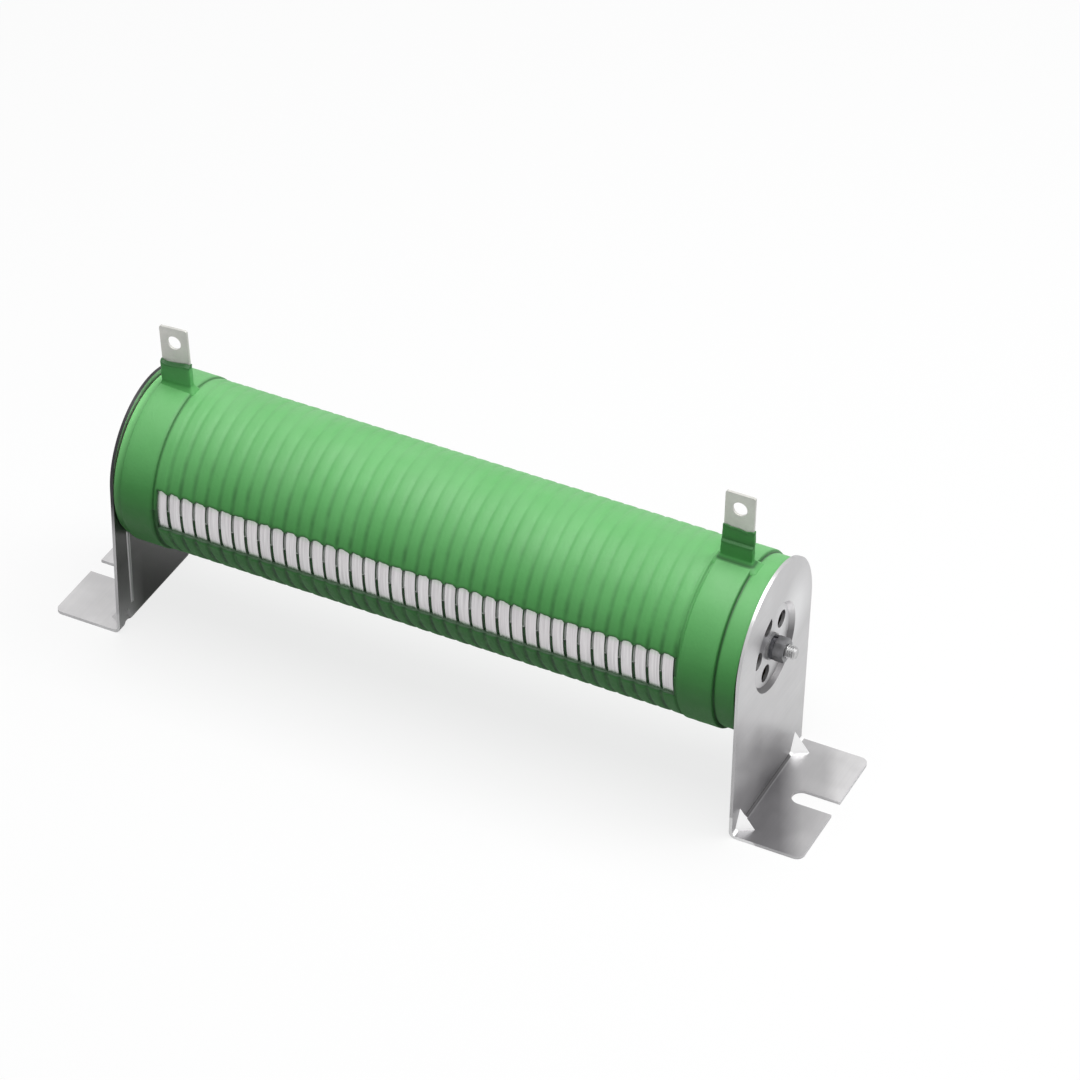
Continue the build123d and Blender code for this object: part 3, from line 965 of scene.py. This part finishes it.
# %% Bracket: sheet steel
def sheet_steel():
    """Bright plated sheet with faint rolling lines and dust, and painted shade and painted highlights laid
    over it.
    """
    material, net, shader, place, cloud, grain = finish_start("bracket_sheet", 0.018, 0.0006)
    line = use(net, streak_group, Place=place, Line_width=0.0006, Stretch=60.0)["Streak"]
    dust = use(net, dust_group, Place=place, Patch_size=0.005, Amount=0.12)["Dust"]
    spot = on_sheet(net, place)
    gusset_highlight, crease_shade = bend_marks(net, spot)
    body = layered(
        net, colour(190, 189, 190),
        (cloud, colour(206, 205, 206)),
        (times(net, line, 0.2), colour(170, 170, 172)),
        (dust, colour(200, 198, 194)),
        # painted shade on the faces towards the tube, with the ribs left bright as a painted highlight
        (times(net, inner_face_shade(net, spot), 0.85), colour(70, 69, 68)),
        # painted shade on the left bracket's edge
        (left_edge_shade(net, spot), colour(40, 40, 42)),
        # painted shade around the fold
        (times(net, fold_shade(net, spot), rest(net, gusset_highlight)), colour(96, 95, 98)),
        # painted shade on the bend
        (times(net, crease_shade, 0.78), colour(48, 47, 48)),
        # painted highlight on the gussets
        (times(net, gusset_highlight, spread(net, spot.x, -50, 50, 0.3, 1.0)), colour(250, 250, 250)),
        # painted highlight beside the dish
        (glare_spot(net, spot), colour(232, 232, 233)),
        # painted shade on the dish's lower wall
        (times(net, dish_wall_shade(net, spot), 0.8), colour(62, 60, 62)),
    )
    rough = spread(net, cloud, 0, 1, 0.3, 0.42)
    bump = relief(net, grain, 0.00002, 0.4)
    fill(net, shader, Base_Color=body, Roughness=rough, Metallic=0.9, Normal=bump)
    return material


bracket_finish = sheet_steel()
print("bracket finish:", len(bracket_finish.node_tree.nodes), "nodes")

# %% [markdown]
# ## Ceramic and mica
# The tube's ceramic is open-pored, and so rough that it has hardly any shine. Its dark brown is partly
# oxide and partly painted shade for the gaps between the turns. The gaskets between the tube and the
# brackets are pressed mica, whose flakes glint a little.

# %% Ceramic and mica
def ceramic():
    """Brown-grey, open-pored, quite rough; the dark brown is partly oxide and partly painted shade for the
    gaps.
    """
    material, net, shader, _, cloud, grain = finish_start("fired_ceramic", 0.012, 0.0005)
    pores = (times(net, grain, 0.4), colour(64, 54, 46))
    body = layered(net, colour(92, 80, 68), (cloud, colour(122, 108, 92)), pores)
    rough = spread(net, grain, 0, 1, 0.75, 0.95)
    fill(net, shader, Base_Color=body, Roughness=rough, Normal=relief(net, grain, 0.0001))
    return material


def mica():
    """Pressed mica: flaky, tan-grey, with a slight sheen of flakes."""
    material, net, shader, place, cloud, _ = finish_start("gasket_sheet", 0.01, 0.0006)
    flakes = put(net, "TexVoronoi", Vector=place, Scale=900.0).outputs["Distance"]
    body = blend(net, cloud, colour(150, 140, 120), colour(178, 168, 146))
    rough = spread(net, flakes, 0, 0.6, 0.45, 0.75)
    fill(net, shader, Base_Color=body, Roughness=rough, Normal=relief(net, flakes, 0.00008))
    return material


ceramic_finish, gasket_finish = ceramic(), mica()
print("finishes:", ceramic_finish.name, gasket_finish.name)

# %% [markdown]
# ## Nuts, washers, rod and lugs
# The fasteners are plated steel in several greys, from the dark spring washers to the bright rod. The
# lugs are tinned: a dull, slightly warm grey, scuffed by handling.

# %% Fasteners and lugs
def small_steel(name, dark, light, low, high):
    """Plated fasteners: metal that clouds between two greys, its roughness between low and high."""
    material, net, shader, _, cloud, grain = finish_start(name, 0.003, 0.0003)
    body = blend(net, cloud, colour(*dark), colour(*light))
    rough = spread(net, grain, 0, 1, low, high)
    bump = relief(net, grain, 0.00002, 0.5)
    fill(net, shader, Base_Color=body, Roughness=rough, Metallic=0.9, Normal=bump)
    return material


def lug_metal():
    """Tinned lug: dull warm grey, cloudy and finely scuffed."""
    material, net, shader, _, cloud, grain = finish_start("terminal_metal", 0.006, 0.0005)
    scuffs = (times(net, grain, 0.2), colour(164, 162, 156))
    body = layered(net, colour(196, 196, 191), (cloud, colour(216, 215, 211)), scuffs)
    rough = spread(net, cloud, 0, 1, 0.38, 0.55)
    bump = relief(net, grain, 0.00003, 0.5)
    fill(net, shader, Base_Color=body, Roughness=rough, Metallic=0.8, Normal=bump)
    return material


nut_finish = small_steel("nut_steel", (104, 104, 106), (142, 142, 144), 0.3, 0.5)
washer_finish = small_steel("plated_steel", (120, 120, 122), (160, 160, 160), 0.3, 0.5)
spring_finish = small_steel("spring_steel", (84, 84, 88), (120, 120, 124), 0.28, 0.45)
rod.data.materials.append(small_steel("rod_steel", (150, 150, 151), (192, 192, 192), 0.25, 0.4))
print("rod finished with", rod.data.materials[0].name)

# %% [markdown]
# ## Each solid gets its finish
# The solids that stay are told apart by the start of their names, and both sides share a finish.

# %% Finishes of the solids
finishes = {
    "ceramic_core": ceramic_finish, "end_bracket": bracket_finish, "terminal_band": lug_metal(),
    "end_gasket": gasket_finish, "nut": nut_finish, "flat_washer": washer_finish,
    "spring_washer": spring_finish,
}
finished = []
for title, solid in nodes.items():
    for start, finish in finishes.items():
        if title.startswith(start):
            solid.data.materials.clear()
            solid.data.materials.append(finish)
            finished.append(title)
print("finished solids:", sorted(finished))

# %% [markdown]
# ## Table
# The table is a real surface, so the shadow falls on it. Seen by the camera or in a reflection it is
# lightened, so that the background comes out white. For the light that bounces off it, it is dark, so
# that it throws little light up under the tube.

# %% Table
def mix_shaders(net, share, first, second):
    """Shader first where the share is 0 and second where it is 1."""
    made = put(net, "MixShader")
    feed_all(net, made.inputs, (share, first, second))
    return made.outputs[0]


def ray_choice(net, shown, lit):
    """One shader for what the camera, a reflection or a pane shows, and another for all other light."""
    path = put(net, "LightPath").outputs
    seen_by = maths(net, "MAXIMUM", path["Is Camera Ray"], path["Is Glossy Ray"])
    seen_by = maths(net, "MAXIMUM", seen_by, path["Is Transmission Ray"])
    return mix_shaders(net, seen_by, lit, shown)


def table():
    """A flat sheet six metres wide, white, lightened where the camera or a reflection looks at it."""
    mesh = bpy.data.meshes.new("table")
    mesh.from_pydata([(-3, -3, 0), (3, -3, 0), (3, 3, 0), (-3, 3, 0)], [], [(0, 1, 2, 3)])
    piece = in_scene("table", mesh)
    material = bpy.data.materials.new("table_white")
    material.use_nodes = True
    net = material.node_tree
    net.nodes.clear()
    camera_ray = put(net, "LightPath").outputs["Is Camera Ray"]
    glow_share = maths(net, "MULTIPLY_ADD", camera_ray, 0.7, 0.1)
    lit = put(net, "BsdfDiffuse", Color=(0.08, 0.08, 0.08, 1)).outputs[0]
    white = put(net, "BsdfDiffuse", Color=(0.9, 0.9, 0.9, 1)).outputs[0]
    glow = put(net, "Emission", Color=(1, 1, 1, 1), Strength=1.0).outputs[0]
    pale = mix_shaders(net, glow_share, white, glow)
    put(net, "OutputMaterial", Surface=ray_choice(net, pale, lit))
    piece.data.materials.append(material)
    return piece


print("stage:", table().name)

# %% [markdown]
# ## Surroundings
# The world is white to look at and in reflections, and a weak even light for everything else, which fills
# the shadows.

# %% World
def surroundings(fill_light, white):
    """White where the camera or a reflection looks, and a weaker even light for everything else."""
    world = bpy.data.worlds.new("studio")
    world.use_nodes = True
    net = world.node_tree
    net.nodes.clear()
    back = put(net, "Background", Color=(1, 1, 1, 1), Strength=white).outputs[0]
    even = put(net, "Background", Color=(0.96, 0.98, 1, 1), Strength=fill_light).outputs[0]
    put(net, "OutputWorld", Surface=ray_choice(net, back, even))
    bpy.context.scene.world = world


surroundings(0.14, 1.0)
print("world:", bpy.context.scene.world.name)

# %% [markdown]
# ## Lamps
# A large soft light above the object makes most of the picture, and a weak one from the right and behind
# brightens the right bracket's outer face.

# %% Lamps
def softbox(name, place, aim, size, power):
    """A square area light at place, turned to aim."""
    light = bpy.data.lights.new(name, "AREA")
    light.size = size
    light.energy = power
    lamp = in_scene(name, light)
    lamp.location = place
    lamp.rotation_euler = (Vector(aim) - Vector(place)).to_track_quat("-Z", "Y").to_euler()
    print(f"{name}: {power} W from {tuple(place)}")
    return lamp


object_middle = (0, 0, axis_height * MM)
softbox("top_light", (0.1, 0.0, 1.5), object_middle, 1.4, 24.2)
softbox("right_light", (1.3, 0.5, 1.1), object_middle, 0.8, 6)

# %% [markdown]
# ## Camera
# The camera's place and lens were worked out from the outlines of the tube, the brackets and the lugs: it
# looks from the front right, well above the table, through a long lens, and is tilted by a little over
# one degree.

# %% Camera
frame_pixels, sensor_width = 1080, 36


def camera(azimuth, elevation, roll, focal, target, distance):
    """A camera that looks at target from an azimuth, -Y towards +X, and an elevation, rolled about its line.

    focal is the focal length in pixels of the picture."""
    az, el, turn = (math.radians(value) for value in (azimuth, elevation, roll))
    back = Vector((math.sin(az) * math.cos(el), -math.cos(az) * math.cos(el), math.sin(el)))
    right = Vector((math.cos(az), math.sin(az), 0))
    up = back.cross(right)
    side = math.cos(turn) * right + math.sin(turn) * up
    top = math.cos(turn) * up - math.sin(turn) * right
    lens = bpy.data.cameras.new("view")
    lens.sensor_width = sensor_width
    lens.lens = focal * sensor_width / frame_pixels
    lens.clip_start = 0.05
    eye = in_scene("view", lens)
    place = Vector(target) + back * distance
    eye.matrix_world = Matrix.Translation(place) @ Matrix((side, top, back)).transposed().to_4x4()
    bpy.context.scene.camera = eye
    print(f"camera at {[round(v, 4) for v in place]}, lens {lens.lens:.1f} mm")


camera(25.47, 37.53, 1.335, 4898.05, (0.03257, 0, axis_height * MM + 0.01422), 1.7127)
bpy.context.scene.view_settings.view_transform = "Standard"
